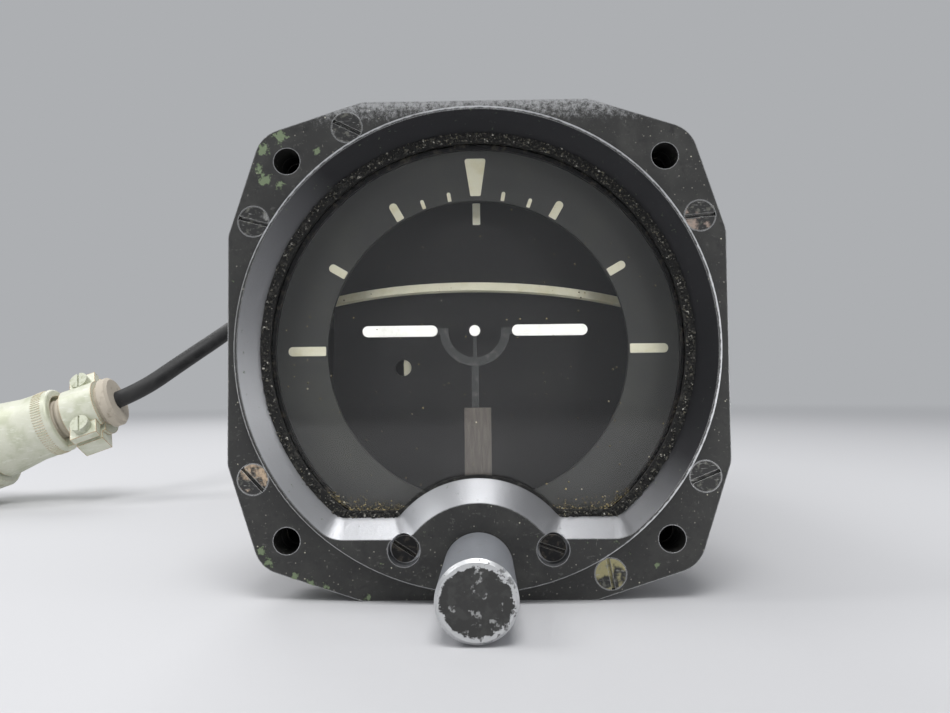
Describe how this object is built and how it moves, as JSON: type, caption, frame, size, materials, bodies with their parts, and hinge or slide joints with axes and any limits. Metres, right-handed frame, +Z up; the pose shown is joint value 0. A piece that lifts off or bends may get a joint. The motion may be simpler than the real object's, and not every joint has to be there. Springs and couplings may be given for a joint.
{
  "type": "attitude indicator",
  "caption": "Panel attitude indicator: gyro-driven horizon bar and bank dial behind a bevelled glass window, adjusting knob, tubular case, cable and round plug.",
  "frame": {"origin": "centre of the four panel bolt holes, on the flange's front face", "axes": "-Y the way the dial faces, +Y back along the case, +X to the right of the dial, +Z up"},
  "size_m": [0.2092, 0.2416, 0.0826],
  "materials": {
    "black_paint": "black paint over cast aluminium, worn at the edges",
    "clear_glass": "clear flat glass, dusty inside",
    "gasket_rubber": "perished, granular and dusty",
    "dark_steel": "blackened steel",
    "screw_brass": "painted brass, bare where worn",
    "mask_paint": "matt dark grey dial paint",
    "sky_paint": "matt near-black dial paint",
    "cream_paint": "faded cream luminous paint",
    "white_paint": "white paint",
    "plate_grey": "dull grey-brown oxide",
    "bracket_metal": "thin dark steel strip",
    "knob_black": "black anodised, bare at the edge",
    "steel": "machined steel",
    "bearing_steel": "ground bearing steel",
    "brass": "machined brass",
    "bare_aluminium": "machined aluminium",
    "stator_iron": "varnished laminations",
    "black_plastic": "moulded insulation",
    "gland_metal": "dull grey metal",
    "cable_rubber": "matt black sheath",
    "bush_rubber": "aged tan rubber",
    "connector_olive": "pale olive chromate, worn tan",
    "plated_steel": "plated steel",
    "contact_gold": "plated contacts"
  },
  "bodies": {
    "case": {"bezel": "black_paint", "glass_gasket": "gasket_rubber", "cover_glass": "clear_glass", "glass_retainer": "dark_steel", "flange_screws": "screw_brass", "gear_plate_screws": "dark_steel", "instrument_case": "black_paint", "rear_cover": "black_paint", "rear_cover_screws": "dark_steel", "mask_dial": "mask_paint", "mask_snap_ring": "dark_steel", "knob_bushing": "brass", "idler_pin": "steel", "gear_plate": "plate_grey", "symbol_guide": "plate_grey", "rear_bulkhead": "bare_aluminium", "roll_bearings": "bearing_steel", "brush_block": "black_plastic", "cable_gland": "gland_metal", "gland_nut": "gland_metal", "cable": "cable_rubber", "cable_bushing": "bush_rubber", "cable_clamp_body": "connector_olive", "cable_clamp_saddle": "connector_olive", "cable_clamp_screws": "plated_steel", "connector_endbell": "connector_olive", "connector_shell": "connector_olive", "connector_insert": "black_plastic", "connector_contacts": "contact_gold"},
    "knob": {"adjust_knob": "knob_black", "knob_set_screw": "dark_steel", "knob_shaft": "steel", "knob_gear": "brass"},
    "idler": {"idler_gear": "brass"},
    "symbol": {"symbol_slide": "brass", "symbol_bracket": "bracket_metal", "symbol_wings": "white_paint", "symbol_dot": "white_paint"},
    "roll": {"roll_gimbal": "bare_aluminium", "sky_disk": "sky_paint", "gimbal_counterweight": "brass", "pitch_bearings": "bearing_steel", "arm_pivot_screw": "steel", "roll_spindle": "steel", "slip_rings": "brass"},
    "gyro": {"gyro_housing_lower": "bare_aluminium", "gyro_housing_upper": "bare_aluminium", "pitch_trunnions": "steel", "pitch_drive_pin": "steel", "rotor_bearings": "bearing_steel", "gyro_stator": "stator_iron"},
    "rotor": {"gyro_rotor": "brass", "rotor_shaft": "steel"},
    "horizon": {"horizon_bar": "cream_paint", "horizon_arm": "bare_aluminium", "arm_counterweight": "brass"},
    "coupling": {"connector_coupling_nut": "connector_olive"}
  },
  "joints": [
    {"name": "knob_turn", "type": "hinge", "parent": "case", "child": "knob", "pos_m": [0, -0.012, -0.0352], "axis": [0, 1, 0], "range_deg": [-106.9, 7.6]},
    {"name": "idler_turn", "type": "hinge", "parent": "case", "child": "idler", "pos_m": [-0.0035, 0.0068, -0.03033], "axis": [0, 1, 0], "range_deg": [-7.7, 107]},
    {"name": "symbol_lift", "type": "slide", "parent": "case", "child": "symbol", "axis": [0, 0, 1], "range_m": [-0.0056, 0.0004]},
    {"name": "roll_turn", "type": "hinge", "parent": "case", "child": "roll", "pos_m": [0, 0.099, 0], "axis": [0, 1, 0], "continuous": true},
    {"name": "gyro_pitch", "type": "hinge", "parent": "roll", "child": "gyro", "pos_m": [0, 0.049, 0], "axis": [0.9999, 0, -0.0148], "range_deg": [-18.2, 77.8]},
    {"name": "horizon_tilt", "type": "hinge", "parent": "roll", "child": "horizon", "pos_m": [-0.0297, 0.058, 0.00044], "axis": [0.9999, 0, -0.0148], "range_deg": [-9.15, 38.95]},
    {"name": "rotor_spin", "type": "hinge", "parent": "gyro", "child": "rotor", "pos_m": [0, 0.049, 0], "axis": [0.0129, 0.497, 0.8677], "continuous": true},
    {"name": "coupling_spin", "type": "hinge", "parent": "case", "child": "coupling", "pos_m": [-0.15674, 0.10489, -0.02465], "axis": [-0.9356, -0.1149, -0.3338], "continuous": true}
  ],
  "couplings": [
    {"joint": "idler_turn", "follows": "knob_turn", "ratio": -1},
    {"joint": "symbol_lift", "follows": "knob_turn", "m_per_rad": 0.003},
    {"joint": "horizon_tilt", "follows": "gyro_pitch", "ratio": 0.5}
  ]
}
